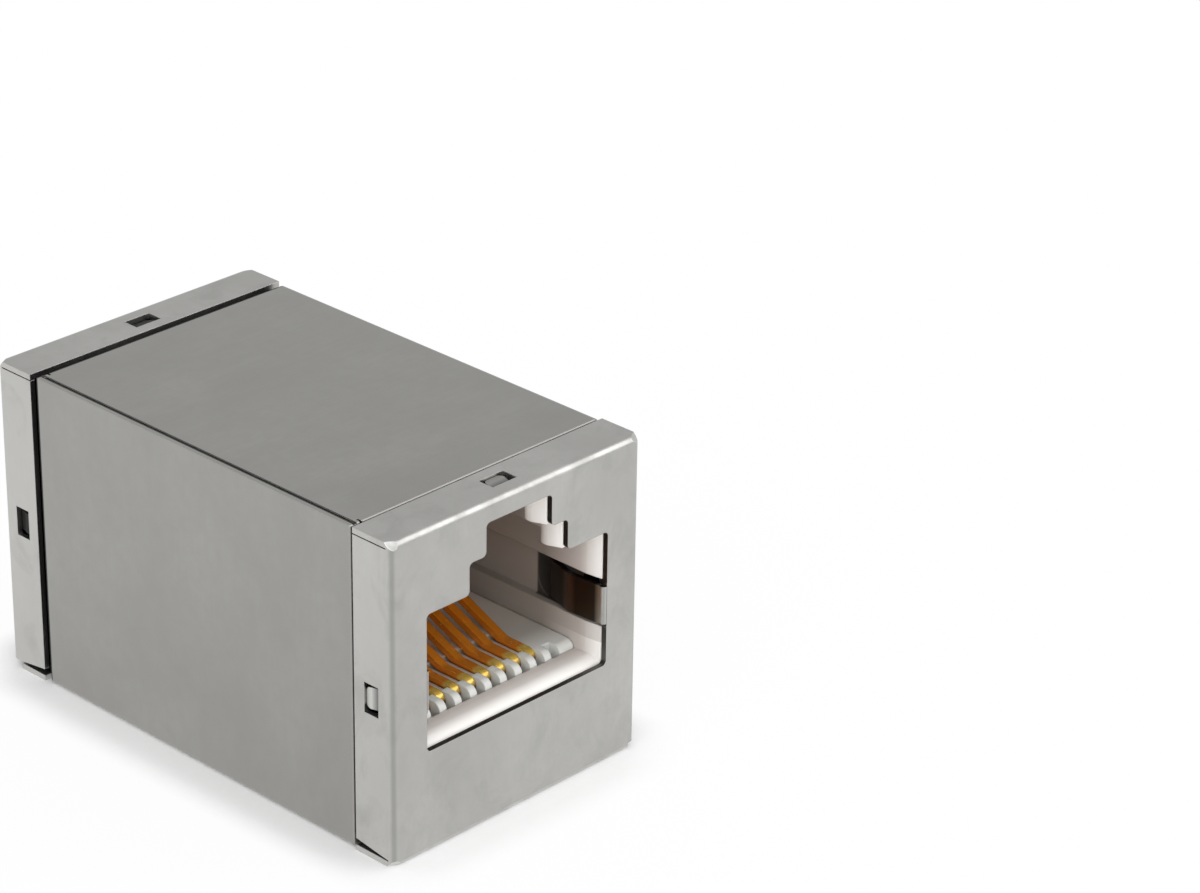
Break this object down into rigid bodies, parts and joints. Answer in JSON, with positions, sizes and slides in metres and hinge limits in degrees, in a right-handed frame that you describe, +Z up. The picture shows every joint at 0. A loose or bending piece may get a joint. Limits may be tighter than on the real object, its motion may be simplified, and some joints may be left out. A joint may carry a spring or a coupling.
{
  "type": "rj45 inline coupler",
  "caption": "Shielded inline coupler that joins two network patch cords: a folded metal case with a keyed modular socket in each end.",
  "frame": {"origin": "middle of the underside that the coupler rests on", "axes": "+Y along the long axis from the front socket to the rear one, +Z up on the side of the latch keyways, +X to the right seen from the front socket"},
  "size_m": [0.0164, 0.0284, 0.0172],
  "materials": {
    "cap_sheet": "nickel-plated folded sheet, satin, faint handling marks",
    "shell_sheet": "nickel-plated folded sheet, fine satin brushing",
    "housing_plastic": "moulded warm white plastic, soft sheen",
    "carrier_plastic": "moulded grey-white plastic",
    "contact_gold": "gold-plated spring wire, bright",
    "board": "green lacquered circuit board"
  },
  "bodies": {
    "root": {"front_cap": "cap_sheet", "rear_cap": "cap_sheet", "shell_lower": "shell_sheet", "shell_upper": "shell_sheet", "front_housing": "housing_plastic", "rear_housing": "housing_plastic", "front_contact_carrier": "carrier_plastic", "rear_contact_carrier": "carrier_plastic", "circuit_board": "board", "front_contact_1": "contact_gold", "front_contact_2": "contact_gold", "front_contact_3": "contact_gold", "front_contact_4": "contact_gold", "front_contact_5": "contact_gold", "front_contact_6": "contact_gold", "front_contact_7": "contact_gold", "front_contact_8": "contact_gold", "rear_contact_1": "contact_gold", "rear_contact_2": "contact_gold", "rear_contact_3": "contact_gold", "rear_contact_4": "contact_gold", "rear_contact_5": "contact_gold", "rear_contact_6": "contact_gold", "rear_contact_7": "contact_gold", "rear_contact_8": "contact_gold"}
  },
  "joints": []
}
